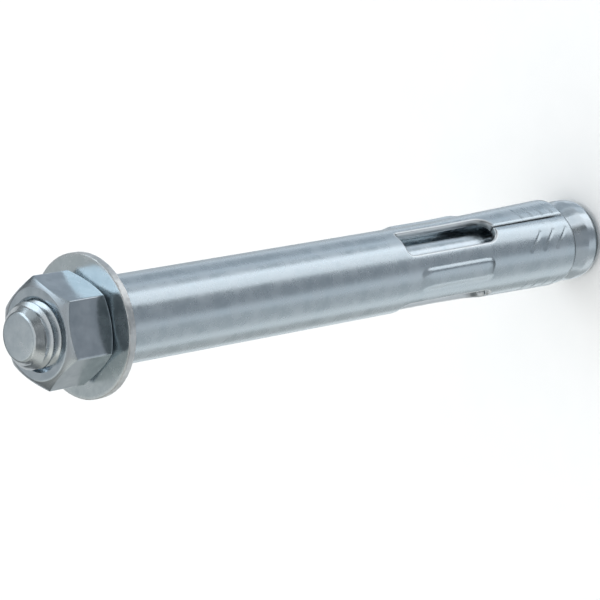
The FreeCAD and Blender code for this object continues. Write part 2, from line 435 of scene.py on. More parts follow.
# %% Zinc on a cold formed nut
formed_zinc = zinc_plate(
    "zinc_on_cold_formed_nut", "d6dfe6", "bfcad2", "aeb4ba", cloud_mm=3.0,
    marks_mm=(0.35, 0.35, 5), lift_mm=0.005, rough=(0.14, 0.22), worn_rough=0.2,
)
all_zincs = (turned_zinc, strip_zinc, sheet_zinc, torn_zinc, formed_zinc)
print("finishes:", [material.name for material in all_zincs])

# %% [markdown]
# ## Stud
# The stud is one turned piece: a flat foot, a rounded edge, a short band, the cone that spreads the
# legs, a plain shank, the thread and a chamfered tip. The plain stretches are rings on a lathe,
# which leave two open circles, one at each end of the thread. The tree fills the stretch between
# them with the thread.

# %% Sections of the stud below and above its thread
pitch = 1.75
thread_columns = 96
thread_depth = 1.03
crest_play = 0.08
tip_flat_r = 4.0
tip_ring_r = 4.4
tip_ring_drop = 0.2
tip_soft = 0.15
tip_slope = 1.0
runout_slope = 0.6
crest_z = tip_z - 0.76
band_ring_up = 0.4
band_soft = 0.25
shank_soft = 0.4
cone_ring_in = 0.6
foot_rings = (0, 2, 4.5)
shank_rings = (30, 55)

edge_arc = [
    (head_r - head_edge_r * (1 - math.sin(a)), head_edge_r * (1 - math.cos(a)))
    for a in np.radians(np.linspace(0, 90, 9))
]
cone_slope = (cone_high_z - cone_low_z) / (head_r - shank_r)
band_top, shank_foot = (head_r, cone_low_z), (shank_r, cone_high_z)
lower_section = [(r, 0) for r in foot_rings] + edge_arc + [(head_r, head_edge_r + band_ring_up)]
lower_section += softened((head_r, 0), band_top, shank_foot, band_soft)
lower_section += [(head_r - cone_ring_in, cone_low_z + cone_ring_in * cone_slope)]
lower_section += softened(band_top, shank_foot, (shank_r, thread_low_z), shank_soft)
lower_section += [(shank_r, z) for z in (*shank_rings, thread_low_z)]
ring_z = tip_z - tip_ring_drop
tip_section = [(tip_ring_r, ring_z)]
tip_section += softened((tip_ring_r, ring_z), (tip_flat_r, tip_z), (0, tip_z), tip_soft)
tip_section += [(2, tip_z), (0, tip_z)]
print("stud has", len(lower_section), "rings below its thread and", len(tip_section), "above it")

# %% Stud
points, faces = [], []
for section in (lower_section, tip_section):
    part_points, part_faces = skin([turned_ring(r, z, thread_columns) for r, z in section])
    faces += [tuple(i + len(points) for i in face) for face in part_faces]
    points += part_points.tolist()
stud = new_piece("anchor_stud", points, faces, np.zeros(len(points)))
baked(stud, thread_tree, {
    "Pitch": pitch * MM,
    "Crest radius": (thread_r - crest_play) * MM,
    "Root radius": (thread_r - thread_depth) * MM,
    "Low": thread_low_z * MM,
    "High": ring_z * MM,
    "Crest height": crest_z * MM,
    "Start angle": 0.0,
    "Low end radius": shank_r * MM,
    "Low end slope": runout_slope,
    "High end radius": tip_ring_r * MM,
    "High end slope": tip_slope,
    "Columns": thread_columns,
    "Inside": False,
    "Finish": turned_zinc,
})
finished(stud, 32)

# %% [markdown]
# ## Nut
# A cold formed hexagon nut for an 18 mm spanner has a flat cone on both ends. Where a cone
# meets a flat side, the edge is a hyperbola, which a boolean would cut with ragged points. The
# nut's section can be written down for any direction instead: how far the side is, and how deep
# the cone bites there. One such section for each of 144 directions makes the skin, with its edges
# exactly along rows and columns. The thread tree then taps the bore, with the same helix as the
# stud's, so that the two stay in step when the nut turns. The cones are marked as worn, because
# turning left them duller than the pressed faces.

# %% Section of the nut in any direction
nut_flats = 17.6
nut_face_r = nut_flats / 2 - 0.6
nut_chamfer = math.tan(math.radians(30))
nut_corner_r = 0.3
thread_gap = 0.05
nut_sink_r = thread_r + thread_gap + 0.65
nut_h = nut_high_z - nut_low_z
face_ring_gaps = (0.3, 0.5)
rim_soft = 0.18
shoulder_soft = 0.12
side_rings = (0.5, 1.5)


def side_distance(from_middle):
    """How far the nut's side is from the axis, this many radians from the middle of a face."""
    flat = nut_flats / 2
    bend = math.atan((flat - nut_corner_r) * math.tan(math.pi / 6) / flat)
    if abs(from_middle) <= bend:
        return flat / math.cos(from_middle)
    centre = (flat - nut_corner_r) / math.cos(math.pi / 6)
    off = math.pi / 6 - abs(from_middle)
    return centre * math.cos(off) + math.sqrt(nut_corner_r ** 2 - (centre * math.sin(off)) ** 2)


def nut_section(from_middle):
    """Points of the nut's section in one direction, from the lower countersink to the upper one."""
    side = side_distance(from_middle)
    bite = (side - nut_face_r) * nut_chamfer
    sink, rim, shoulder = (nut_sink_r, 0), (nut_face_r, 0), (side, bite)
    middle = (side, nut_h / 2)
    lower = [sink, (nut_sink_r + face_ring_gaps[0], 0), (nut_face_r - face_ring_gaps[1], 0)]
    lower += softened(sink, rim, shoulder, rim_soft)
    lower += softened(rim, shoulder, middle, shoulder_soft)
    lower += [(side, bite + up) for up in side_rings]
    upper = [(r, nut_h - z) for r, z in reversed(lower)]
    return [tuple(p) for p in lower] + [middle] + [tuple(p) for p in upper]


# %% Nut
nut_corner_deg = -3.3
nut_columns = 144
corner_crowding = 1.45
cone_worn = {5: 0.9, 6: 0.3}

# Directions, denser at the corners so that their rounding has points of its own
per_face = nut_columns // 6
steps = np.linspace(-1, 1, per_face + 1)[:-1]
even = steps * math.pi / 6
crowded = np.sign(steps) * (1 - (1 - abs(steps)) ** corner_crowding) * math.pi / 6
sections = [nut_section(a) for a in crowded] * 6
face_middles = np.repeat(np.arange(6) * math.pi / 3, per_face) + math.pi / 6 + math.radians(nut_corner_deg)
rows = len(sections[0])
rings = []
wear_and_highlight = []
for row in range(rows):
    at_bore = row in (0, rows - 1)
    angles = face_middles + np.tile(even if at_bore else crowded, 6)
    radii = np.array([section[row][0] for section in sections])
    heights = np.array([section[row][1] for section in sections]) + nut_low_z
    rings.append(np.stack([radii * np.cos(angles), radii * np.sin(angles), heights], 1))
    from_end = min(row, rows - 1 - row)
    wear_and_highlight.append(np.full(nut_columns, cone_worn.get(from_end, 0.0)))
points, faces = skin(rings)
nut = new_piece("hexagon_nut", points, faces, np.concatenate(wear_and_highlight))

# The bore's grid starts at a corner too, and its helix is lowered by as much as it turned back
baked(nut, thread_tree, {
    "Pitch": pitch * MM,
    "Crest radius": (thread_r + thread_gap) * MM,
    "Root radius": (thread_r - thread_depth + 2 * thread_gap) * MM,
    "Low": nut_low_z * MM,
    "High": nut_high_z * MM,
    "Crest height": (crest_z + pitch * nut_corner_deg / 360) * MM,
    "Start angle": math.radians(nut_corner_deg),
    "Low end radius": nut_sink_r * MM,
    "Low end slope": 1.0,
    "High end radius": nut_sink_r * MM,
    "High end slope": 1.0,
    "Columns": nut_columns,
    "Inside": True,
    "Finish": formed_zinc,
})
finished(nut, 32)

# %% [markdown]
# ## Washer
# A washer is punched out of sheet. The punch pulls the front edge round and tears the rest of the
# rim, so the rim is dull and grainy. Rings on a lathe make it, and a little seeded noise on the
# rim's radius makes the tear, as a real shape and not only in the finish.

# %% Section of the washer
washer_low_z = sleeve_top_z
washer_high_z = nut_low_z
washer_bore_r = 6.5
pulled_edge = 0.22
back_edge = 0.12
bore_edge = 0.15
bore_ring_gap = 0.1
face_ring_r = 10


def washer_section():
    """Corners of the washer's section, from the bore's foot round to the bore's foot again."""
    low, high, rim, bore = washer_low_z, washer_high_z, washer_r, washer_bore_r
    turn = np.radians(np.linspace(0, 90, 6))
    pulled = [(rim - pulled_edge * (1 - math.cos(a)), high - pulled_edge * (1 - math.sin(a))) for a in turn]
    section = [(bore + bore_ring_gap, low), (face_ring_r, low), (rim - 0.6, low)]
    section += softened((bore, low), (rim, low), (rim, high), back_edge)
    section += [(rim, low + (high - low) * share) for share in (0.25, 0.4, 0.55)]
    section += pulled
    section += [(rim - 0.8, high), (face_ring_r, high), (bore + 0.5, high)]
    section += softened((rim, high), (bore, high), (bore, low), bore_edge)
    section += [(bore, (low + high) / 2), (bore, low + bore_ring_gap)]
    return section


print("washer has", len(washer_section()), "rings")

# %% Washer
washer_columns = 240
tear = 0.045
rim_worn_w = 0.45
rng = np.random.default_rng(12)
rings = []
wear_and_highlight = []
for r, z in washer_section():
    ring = turned_ring(r, z, washer_columns)
    if r > washer_r - 0.1 and z < washer_high_z - pulled_edge * 0.5:
        bite = 1 - abs(rng.normal(0, tear, washer_columns)).clip(0, 3 * tear)[:, None] / r
        ring[:, :2] *= bite
    rings.append(ring)
    wear_and_highlight.append(np.full(washer_columns, 0.3 if r > washer_r - rim_worn_w else 0.0))
points, faces = skin(rings + rings[:1])
points = points[:-washer_columns]
count = len(points)
faces = [tuple(i % count for i in face) for face in faces]
washer = new_piece("punched_washer", points, faces, np.concatenate(wear_and_highlight))
washer.data.materials.append(sheet_zinc)
washer.data.materials.append(torn_zinc)
rim_from = (washer_r - pulled_edge) * MM
out_there = [math.hypot(*vertex.co.xy) > rim_from for vertex in washer.data.vertices]
for face in washer.data.polygons:
    face.material_index = int(all(out_there[i] for i in face.vertices))
finished(washer, 40)

# %% [markdown]
# ## Sleeve, from a flat blank
# The real sleeve starts as a strip. A press cuts the windows and slits, lifts a panel on each leg,
# scores its grip marks, and a roller bends the strip into a tube. The same order works here. The
# blank is drawn flat as one comb-shaped outline and filled with triangles, which bend well because
# they are small across the strip. Its rim is rounded, as a press leaves it. Then a Geometry Nodes
# tree rolls the flat blank around the axis. Lofted solids could give the same tube, but their
# windows would have to be cut through curved walls.
#
# One leg's outline is half a window, a slit's edge, the foot, and the same again the other way.
# The windows have a round end where the slit starts and a straight end with small corners.

# %% Outline of the blank
sleeve_wall = 1.4
leg_count = 3
window_deg = 43.0
window_low_z = sleeve_end_z + 20.3
window_high_z = window_low_z + 25.2
window_corner = 1.2
slit_w = 0.3
slit_end_w = 0.45
seam_w = 0.3
columns_round = 240
blank_w = 2 * math.pi * sleeve_r
leg_w = blank_w / leg_count
across_step = blank_w / columns_round


def spaced(start, end, step):
    """Points from start, without end, no further apart than step."""
    start, end = np.array(start, float), np.array(end, float)
    count = max(1, math.ceil(np.linalg.norm(end - start) / step - 1e-9))
    return [tuple(start + (end - start) * i / count) for i in range(count)]


# %% Half a window
def half_window(gap):
    """Half a window's outline, from its slit up to its top, as distances from its middle line."""
    half_w = sleeve_r * math.radians(window_deg / 2)
    depth = sleeve_r * math.tan(math.radians(window_deg / 2))
    start = math.asin(slit_w / 2 / half_w)
    round_end = [
        (half_w * math.sin(a), window_low_z + depth * (1 - math.cos(a)))
        for a in np.linspace(start, math.pi / 2, 15)
    ]
    corner = [
        (half_w - window_corner * (1 - math.cos(a)), window_high_z - window_corner * (1 - math.sin(a)))
        for a in np.linspace(0, math.pi / 2, 7)
    ]
    side = spaced(round_end[-1], corner[0], 0.4)
    top = spaced(corner[-1], (gap, window_high_z), 0.25)
    return round_end[:-1] + side + corner[:-1] + top + [(gap, window_high_z)]


# %% The whole outline
def blank_outline():
    """The comb-shaped outline of the blank, counterclockwise from the top of its seam."""
    seam = half_window(seam_w / 2)
    plain = half_window(0.0)
    top_left = (seam_w / 2, sleeve_top_z)
    top_right = (blank_w - seam_w / 2, sleeve_top_z)
    outline = spaced(top_left, seam[-1], 0.4)
    for leg in range(leg_count):
        left = leg * leg_w
        right = left + leg_w
        near = seam if leg == 0 else plain[:-1]
        far = seam if leg == leg_count - 1 else plain
        down = [(left + x, z) for x, z in reversed(near)]
        up = [(right - x, z) for x, z in far]
        foot_left = (left + slit_end_w / 2, sleeve_end_z)
        foot_right = (right - slit_end_w / 2, sleeve_end_z)
        outline += down[:-1] + spaced(down[-1], foot_left, 0.4)
        outline += spaced(foot_left, foot_right, across_step) + spaced(foot_right, up[0], 0.4)
        outline += up if leg < leg_count - 1 else up[:-1]
    seam_far = (blank_w - seam[-1][0], seam[-1][1])
    outline += spaced(seam_far, top_right, 0.4) + spaced(top_right, top_left, across_step)
    return np.array(outline)


outline = blank_outline()
print("the blank's outline has", len(outline), "points")


# %% [markdown]
# ## Filling the blank
# The outline and its rounded rim are loops of the same points, each a little further into the
# metal. Triangles between these loops and a grid of points fill the blank, once for the outer skin
# and once for the inner one, and a strip of faces joins the two along the cut. A press pulls the
# outer edge of a window round by more than half a millimetre, and hardly touches slits and ends.

# %% Loops of the rim
pulled_w = 0.6
pulled_h = 0.35
burr_r = 0.13
# The rim's loops are marked as worn, so the sleeve's lighter tint paints a highlight along every cut edge.
pulled_wear_and_highlight = 0.9


def inward(outline, distance):
    """The outline moved this far into the metal at a window, and less at slits and sharp corners."""
    before = outline - np.roll(outline, 1, 0)
    after = np.roll(outline, -1, 0) - outline
    before = before / np.linalg.norm(before, axis=1)[:, None]
    after = after / np.linalg.norm(after, axis=1)[:, None]
    side_a = np.stack([-before[:, 1], before[:, 0]], 1)
    side_b = np.stack([-after[:, 1], after[:, 0]], 1)
    turn = (side_a * side_b).sum(1)
    sharp = (turn < 0.5) & (before[:, 0] * after[:, 1] > before[:, 1] * after[:, 0])
    room = np.linalg.norm(outline[:, None] - outline[sharp], axis=2).min(1)
    share = np.clip(room / (1.2 * pulled_w), 0.2, 1)
    at_window = (outline[:, 1] > window_low_z - 0.01) & (outline[:, 1] < window_high_z + 0.01)
    share[~at_window] = 0.2
    return outline + (side_a + side_b) * (distance * share / (1 + turn))[:, None]


def rounded_loops(width, height, angles_deg, level):
    """Loops that round the rim: how far each lies into the metal, and at what level."""
    turns = [math.radians(angle) for angle in angles_deg]
    return [(width * (1 - math.cos(t)), level - height * (1 - math.sin(t))) for t in turns]


outer_loops = rounded_loops(pulled_w, pulled_h, (0, 25, 45, 65, 90), 0)
inner_loops = rounded_loops(burr_r, -burr_r, (0, 45, 90), -sleeve_wall)
print("the rim has", len(outer_loops), "outer and", len(inner_loops), "inner loops")


# %% Grid points that lie in the metal
def grid_of(across, heights):
    """All points at these distances across the strip and these heights."""
    x, z = np.meshgrid(across, heights)
    return np.stack([x.ravel(), z.ravel()], 1)


def in_metal(points, outline, margin):
    """The points that lie inside the outline, at least this far from it."""
    inside = np.zeros(len(points), bool)
    for (x0, z0), (x1, z1) in zip(outline, np.roll(outline, -1, 0)):
        if z0 != z1:
            spans = (points[:, 1] < z0) != (points[:, 1] < z1)
            inside ^= spans & (points[:, 0] < x0 + (points[:, 1] - z0) * (x1 - x0) / (z1 - z0))
    points = points[inside]
    tree = KDTree(len(outline))
    for number, (x, z) in enumerate(outline):
        tree.insert((x, z, 0), number)
    tree.balance()
    return [p for p in points if tree.find((p[0], p[1], 0))[2] > margin]


# %% Triangles of one skin
def filled(outline, loops, grid, margin):
    """Triangles over the outline, through its loops and the grid's points."""
    inner = in_metal(grid, outline, margin)
    rings = [inward(outline, distance) if distance else outline for distance, depth in loops]
    count = len(outline)
    points = [Vector(p) for p in np.concatenate(rings + [np.array(inner)])]
    edges = []
    for loop in range(len(loops)):
        edges += [(loop * count + i, loop * count + (i + 1) % count) for i in range(count)]
    flat, _, faces, origin, _, _ = delaunay_2d_cdt(points, edges, [list(range(count))], 1, 1e-6)
    depths = np.repeat([depth for distance, depth in loops], count).tolist() + [loops[-1][1]] * len(inner)
    order = [min(found) for found in origin]
    ring_at = np.zeros(count, int)
    for made, source in enumerate(order):
        if source < count:
            ring_at[source] = made
    solid = [(p.x, p.y, depths[source]) for p, source in zip(flat, order)]
    wear_and_highlight = [pulled_wear_and_highlight if source < count * (len(loops) - 1) else 0.0 for source in order]
    return solid, faces, ring_at, wear_and_highlight


# %% Rows and columns of points
# Rows are close at the marks and at the panel's ends, and far apart on the plain tube
row_bands = [
    # from, to, step
    (sleeve_end_z + 0.35, 22.5, 0.15),
    (23, 31, 0.6),
    (31, 32.8, 0.15),
    (33.5, 51.5, 1.0),
    (51.9, 53.8, 0.15),
    (54.5, 60, 1.0),
    (60, sleeve_top_z - 1, 4.0),
]
inner_row_bands = [(10, 60, 1.2), (60, sleeve_top_z - 1, 5.0)]
fine_heights = np.concatenate([np.arange(*band) for band in row_bands] + [[sleeve_top_z - 0.4]])
coarse_heights = np.concatenate([np.arange(*band) for band in inner_row_bands])
fine_across = (np.arange(columns_round) + 0.5) * across_step
coarse_across = (np.arange(columns_round // 2) + 0.5) * across_step * 2
fine_grid = grid_of(fine_across, fine_heights)
coarse_grid = grid_of(coarse_across, coarse_heights)
print("outer grid has", len(fine_grid), "points, inner grid", len(coarse_grid))

# %% Both skins and the cut between them
outer, outer_faces, outer_rim, outer_wear_and_highlight = filled(outline, outer_loops, fine_grid, pulled_w + 0.1)
inner, inner_faces, inner_rim, inner_wear_and_highlight = filled(outline, inner_loops, coarse_grid, burr_r + 0.17)
shift = len(outer)
blank_faces = [tuple(face) for face in outer_faces]
blank_faces += [tuple(i + shift for i in reversed(face)) for face in inner_faces]
for i in range(len(outline)):
    j = (i + 1) % len(outline)
    blank_faces.append((outer_rim[j], outer_rim[i], inner_rim[i] + shift, inner_rim[j] + shift))
blank_faces = [tuple(int(i) for i in face) for face in blank_faces]
sleeve = new_piece("rolled_sleeve", outer + inner, blank_faces, outer_wear_and_highlight + inner_wear_and_highlight)
print("the blank has", len(outer) + len(inner), "points")

# %% [markdown]
# ## Rolling the blank
# The tree bends the blank round the axis, and spreads its three legs towards the cone: each leg's
# section stays an arc, whose centre moves out as the leg does. It also lifts a panel on each leg,
# with one crisp side and one that fades into the leg, and presses the slanted grip marks. The
# marks repeat along the leg, so a small group of nodes works out which mark a point is nearest to,
# and how deep it lies in it.

# %% Group for one row of pressed marks
def make_mark_group():
    """How deep a point lies in a row of slanted marks that repeat along the leg."""
    tree = bpy.data.node_groups.new("pressed_marks", "GeometryNodeTree")
    labels = ["Across", "Height", "From", "To", "First height", "Rise", "Pitch", "Count", "Width", "Depth"]
    for label in labels:
        tree.interface.new_socket(label, in_out="INPUT", socket_type="NodeSocketFloat")
    tree.interface.new_socket("Depth", in_out="OUTPUT", socket_type="NodeSocketFloat")
    given = add(tree, "NodeGroupInput").outputs
    span = {"Value": given["Across"], "From Min": given["From"], "From Max": given["To"]}
    share = add(tree, "ShaderNodeMapRange", span)
    line_in = {0: share, 1: given["Rise"], 2: given["First height"]}
    line = add(tree, "ShaderNodeMath", line_in, operation="MULTIPLY_ADD")
    over = add(tree, "ShaderNodeMath", {0: given["Height"], 1: line}, operation="SUBTRACT")
    pitches = add(tree, "ShaderNodeMath", {0: over, 1: given["Pitch"]}, operation="DIVIDE")
    nearest = add(tree, "ShaderNodeMath", {0: pitches}, operation="ROUND")
    last = add(tree, "ShaderNodeMath", {0: given["Count"], 1: 1.0}, operation="SUBTRACT")
    number = add(tree, "ShaderNodeClamp", {"Value": nearest, "Min": 0.0, "Max": last})
    moved = add(tree, "ShaderNodeMath", {0: number, 1: given["Pitch"]}, operation="MULTIPLY")
    off_line = add(tree, "ShaderNodeMath", {0: over, 1: moved}, operation="SUBTRACT")
    width = add(tree, "ShaderNodeMath", {0: given["To"], 1: given["From"]}, operation="SUBTRACT")
    run = add(tree, "ShaderNodeMath", {0: share, 1: width, 2: given["From"]}, operation="MULTIPLY_ADD")
    off_end = add(tree, "ShaderNodeMath", {0: given["Across"], 1: run}, operation="SUBTRACT")
    slant = add(tree, "ShaderNodeMath", {0: given["Rise"], 1: width}, operation="ARCTAN2")
    shorter = add(tree, "ShaderNodeMath", {0: slant}, operation="COSINE")
    square_off = add(tree, "ShaderNodeMath", {0: off_line, 1: shorter}, operation="MULTIPLY")

    # A chisel's section: a long slope on one side of the line, and a short one on the other
    long_side = add(tree, "ShaderNodeMath", {0: square_off, 1: given["Width"]}, operation="DIVIDE")
    short_side = add(tree, "ShaderNodeMath", {0: long_side, 1: -2.5}, operation="MULTIPLY")
    off_side = add(tree, "ShaderNodeMath", {0: long_side, 1: short_side}, operation="MAXIMUM")
    end_share = add(tree, "ShaderNodeMath", {0: off_end, 1: given["Width"]}, operation="DIVIDE")
    away = add(tree, "ShaderNodeCombineXYZ", {"X": off_side, "Y": end_share})
    distance = add(tree, "ShaderNodeVectorMath", {0: away}, operation="LENGTH").outputs["Value"]
    groove_in = {"Value": distance, "To Min": given["Depth"], "To Max": 0.0}
    groove = add(tree, "ShaderNodeMapRange", groove_in)
    add(tree, "NodeGroupOutput", {"Depth": groove})
    return tree


mark_group = make_mark_group()
print("mark group has", len(mark_group.nodes), "nodes")


# %% Roll: where a point lies on its leg
def place_on_leg(tree, given, at):
    """The point's turn round the tube, its turn from the leg's middle, and half a leg's turn."""
    turn = add(tree, "ShaderNodeMath", {0: at["X"], 1: given["Radius"]}, operation="DIVIDE")
    leg_turn = add(tree, "ShaderNodeMath", {0: 2 * math.pi, 1: given["Legs"]}, operation="DIVIDE")
    half_leg = add(tree, "ShaderNodeMath", {0: leg_turn, 1: 2.0}, operation="DIVIDE")
    in_leg = add(tree, "ShaderNodeMath", {0: turn, 1: leg_turn}, operation="FLOORED_MODULO")
    off_middle = add(tree, "ShaderNodeMath", {0: in_leg, 1: half_leg}, operation="SUBTRACT")
    return turn, off_middle, half_leg


# %% Roll: the arc that a leg's section follows
def leg_arc(tree, given, at, half_leg):
    """The arc's radius, and how far its centre has moved out, from the spread at this height."""
    below = add(tree, "ShaderNodeMath", {0: given["Flare start"], 1: at["Y"]}, operation="SUBTRACT")
    share_in = {0: below, 1: given["Flare length"]}
    share = add(tree, "ShaderNodeMath", share_in, operation="DIVIDE", use_clamp=True)
    spread_in = [{0: share, 1: given[end + " spread"], 2: given["Radius"]} for end in ("Middle", "Slit")]
    middle_r, slit_r = [add(tree, "ShaderNodeMath", links, operation="MULTIPLY_ADD") for links in spread_in]
    gain = add(tree, "ShaderNodeMath", {0: middle_r, 1: slit_r}, operation="SUBTRACT")
    total = add(tree, "ShaderNodeMath", {0: middle_r, 1: slit_r}, operation="ADD")
    squares = add(tree, "ShaderNodeMath", {0: gain, 1: total}, operation="MULTIPLY")
    leg_cosine = add(tree, "ShaderNodeMath", {0: half_leg}, operation="COSINE")
    slit_x = add(tree, "ShaderNodeMath", {0: slit_r, 1: leg_cosine}, operation="MULTIPLY")
    reach = add(tree, "ShaderNodeMath", {0: middle_r, 1: slit_x}, operation="SUBTRACT")
    twice = add(tree, "ShaderNodeMath", {0: reach, 1: 2.0}, operation="MULTIPLY")
    offset = add(tree, "ShaderNodeMath", {0: squares, 1: twice}, operation="DIVIDE")
    arc_r = add(tree, "ShaderNodeMath", {0: middle_r, 1: offset}, operation="SUBTRACT")
    return arc_r, offset


# %% Roll: distance from the panel's outline
def from_panel(tree, given, at, across):
    """How far a point lies outside the panel's rounded outline, less than 0 inside it."""
    side = add(tree, "ShaderNodeMath", {0: across}, operation="ABSOLUTE")
    from_side = add(tree, "ShaderNodeMath", {0: side, 1: given["Panel half width"]}, operation="SUBTRACT")
    x_off = add(tree, "ShaderNodeMath", {0: from_side, 1: given["Panel corner"]}, operation="ADD")
    sum_z = add(tree, "ShaderNodeMath", {0: given["Panel low"], 1: given["Panel high"]}, operation="ADD")
    mid_z = add(tree, "ShaderNodeMath", {0: sum_z, 1: 2.0}, operation="DIVIDE")
    half_z = add(tree, "ShaderNodeMath", {0: given["Panel high"], 1: mid_z}, operation="SUBTRACT")
    from_mid = add(tree, "ShaderNodeMath", {0: at["Y"], 1: mid_z}, operation="SUBTRACT")
    away = add(tree, "ShaderNodeMath", {0: from_mid}, operation="ABSOLUTE")
    from_end = add(tree, "ShaderNodeMath", {0: away, 1: half_z}, operation="SUBTRACT")
    z_in = {0: from_end, 1: given["Panel end share"], 2: given["Panel corner"]}
    z_off = add(tree, "ShaderNodeMath", z_in, operation="MULTIPLY_ADD")
    outs = [add(tree, "ShaderNodeMath", {0: off, 1: 0.0}, operation="MAXIMUM") for off in (x_off, z_off)]
    corner_way = add(tree, "ShaderNodeCombineXYZ", {"X": outs[0], "Y": outs[1]})
    past = add(tree, "ShaderNodeVectorMath", {0: corner_way}, operation="LENGTH").outputs["Value"]
    deeper = add(tree, "ShaderNodeMath", {0: x_off, 1: z_off}, operation="MAXIMUM")
    within = add(tree, "ShaderNodeMath", {0: deeper, 1: 0.0}, operation="MINIMUM")
    outside = add(tree, "ShaderNodeMath", {0: past, 1: within}, operation="ADD")
    return add(tree, "ShaderNodeMath", {0: outside, 1: given["Panel corner"]}, operation="SUBTRACT")


# %% Roll: lift of the panel
def panel_lift(tree, given, across, distance):
    """The panel's rise, up a slope that widens from its crisp side to its soft one."""
    half_w = given["Panel half width"]
    ends = (half_w, given["Panel edge"], given["Panel soft edge"])
    minus = [add(tree, "ShaderNodeMath", {0: end, 1: -1.0}, operation="MULTIPLY") for end in ends]
    other_half, crisp, soft = minus
    edge_in = {"Value": across, "From Min": other_half, "From Max": half_w, "To Min": soft, "To Max": crisp}
    inner_line = add(tree, "ShaderNodeMapRange", edge_in)
    lift_in = {"Value": distance, "From Min": inner_line, "From Max": 0.0}
    lift_in.update({"To Min": given["Panel rise"], "To Max": 0.0})
    return add(tree, "ShaderNodeMapRange", lift_in, interpolation_type="SMOOTHSTEP")


# %% Roll: depth of the pressed marks
def mark_dent(tree, at, across, mark_rows):
    """How deep the marks are pressed here, into the outer skin alone."""
    pressed = []
    for marks in mark_rows:
        group = add(tree, "GeometryNodeGroup", node_tree=mark_group)
        tree.links.new(across.outputs[0], group.inputs["Across"])
        tree.links.new(at["Y"], group.inputs["Height"])
        for label, value in marks.items():
            group.inputs[label].default_value = value
        pressed.append(group)
    grooves = add(tree, "ShaderNodeMath", {0: pressed[0], 1: pressed[1]}, operation="ADD")
    skin_in = {"Value": at["Z"], "From Min": -sleeve_wall * MM / 2, "From Max": -sleeve_wall * MM / 4}
    outer_skin = add(tree, "ShaderNodeMapRange", skin_in)
    return add(tree, "ShaderNodeMath", {0: grooves, 1: outer_skin}, operation="MULTIPLY")


# %% Roll: radius from the anchor's axis
def radius_on_arc(tree, off_middle, arc_r, offset, level):
    """Where a ray from the anchor's axis meets the leg's arc, at this level above the arc."""
    ring_r = add(tree, "ShaderNodeMath", {0: arc_r, 1: level}, operation="ADD")
    sine = add(tree, "ShaderNodeMath", {0: off_middle}, operation="SINE")
    cosine = add(tree, "ShaderNodeMath", {0: off_middle}, operation="COSINE")
    beside = add(tree, "ShaderNodeMath", {0: offset, 1: sine}, operation="MULTIPLY")
    squares = [add(tree, "ShaderNodeMath", {0: way, 1: 2.0}, operation="POWER") for way in (ring_r, beside)]
    left = add(tree, "ShaderNodeMath", {0: squares[0], 1: squares[1]}, operation="SUBTRACT")
    root = add(tree, "ShaderNodeMath", {0: left}, operation="SQRT")
    return add(tree, "ShaderNodeMath", {0: offset, 1: cosine, 2: root}, operation="MULTIPLY_ADD")


# %% Roll: the whole tree
def make_roll_tree(mark_rows):
    """Rolls the blank into a tube, spreads its legs, lifts their panels and presses their marks."""
    labels = ["Radius", "Seam angle", "Legs", "Flare start", "Flare length", "Middle spread", "Slit spread"]
    labels += ["Panel half width", "Panel low", "Panel high", "Panel rise", "Panel corner", "Panel edge"]
    labels += ["Panel soft edge", "Panel end share", "Mark depth"]
    inputs = {label: "Float" for label in labels}
    tree = new_tree("roll_sleeve", {**inputs, "Finish": "Material"})
    given = add(tree, "NodeGroupInput").outputs
    at = add(tree, "ShaderNodeSeparateXYZ", {0: add(tree, "GeometryNodeInputPosition")}).outputs
    turn, off_middle, half_leg = place_on_leg(tree, given, at)
    across = add(tree, "ShaderNodeMath", {0: off_middle, 1: given["Radius"]}, operation="MULTIPLY")
    arc_r, offset = leg_arc(tree, given, at, half_leg)
    distance = from_panel(tree, given, at, across)
    lift = panel_lift(tree, given, across, distance)
    dent = mark_dent(tree, at, across, mark_rows)
    raised = add(tree, "ShaderNodeMath", {0: lift, 1: dent}, operation="SUBTRACT")
    level = add(tree, "ShaderNodeMath", {0: raised, 1: at["Z"]}, operation="ADD")
    radius = radius_on_arc(tree, off_middle, arc_r, offset, level)
    angle = add(tree, "ShaderNodeMath", {0: turn, 1: given["Seam angle"]}, operation="ADD")
    place = place_round(tree, angle, radius, at["Y"])
    rolled = add(tree, "GeometryNodeSetPosition", {"Geometry": given["Geometry"], "Position": place})

    # Pressed marks are marked as worn, as edges are, so their lighter tint paints a highlight along them
    share_in = {"Value": dent, "From Min": 0.0, "From Max": given["Mark depth"]}
    rub_and_highlight = add(tree, "ShaderNodeMapRange", share_in)
    had_wear_and_highlight = add(tree, "GeometryNodeInputNamedAttribute", {"Name": "wear_and_highlight"}, data_type="FLOAT")
    wear_and_highlight = add(tree, "ShaderNodeMath", {0: rub_and_highlight, 1: had_wear_and_highlight}, operation="MAXIMUM")
    wear_and_highlight_in = {"Geometry": rolled, "Name": "wear_and_highlight", "Value": wear_and_highlight}
    marked = add(tree, "GeometryNodeStoreNamedAttribute", wear_and_highlight_in, domain="POINT", data_type="FLOAT")
    real = add(tree, "GeometryNodeRealizeInstances", {"Geometry": marked})
    final = add(tree, "GeometryNodeSetMaterial", {"Geometry": real, "Material": given["Finish"]})
    add(tree, "NodeGroupOutput", {"Geometry": final})
    return tree


# %% Two rows of marks
mark_depth = 0.13


def mark_row(start_deg, end_deg, first_z, rise, step, count, width):
    """One row of marks between two angles from a leg's middle. A width below 0 slopes the other way."""
    return {
        "From": sleeve_r * math.radians(start_deg) * MM,
        "To": sleeve_r * math.radians(end_deg) * MM,
        "First height": first_z * MM,
        "Rise": rise * MM,
        "Pitch": step * MM,
        "Count": count,
        "Width": width * MM,
        "Depth": mark_depth * MM,
    }


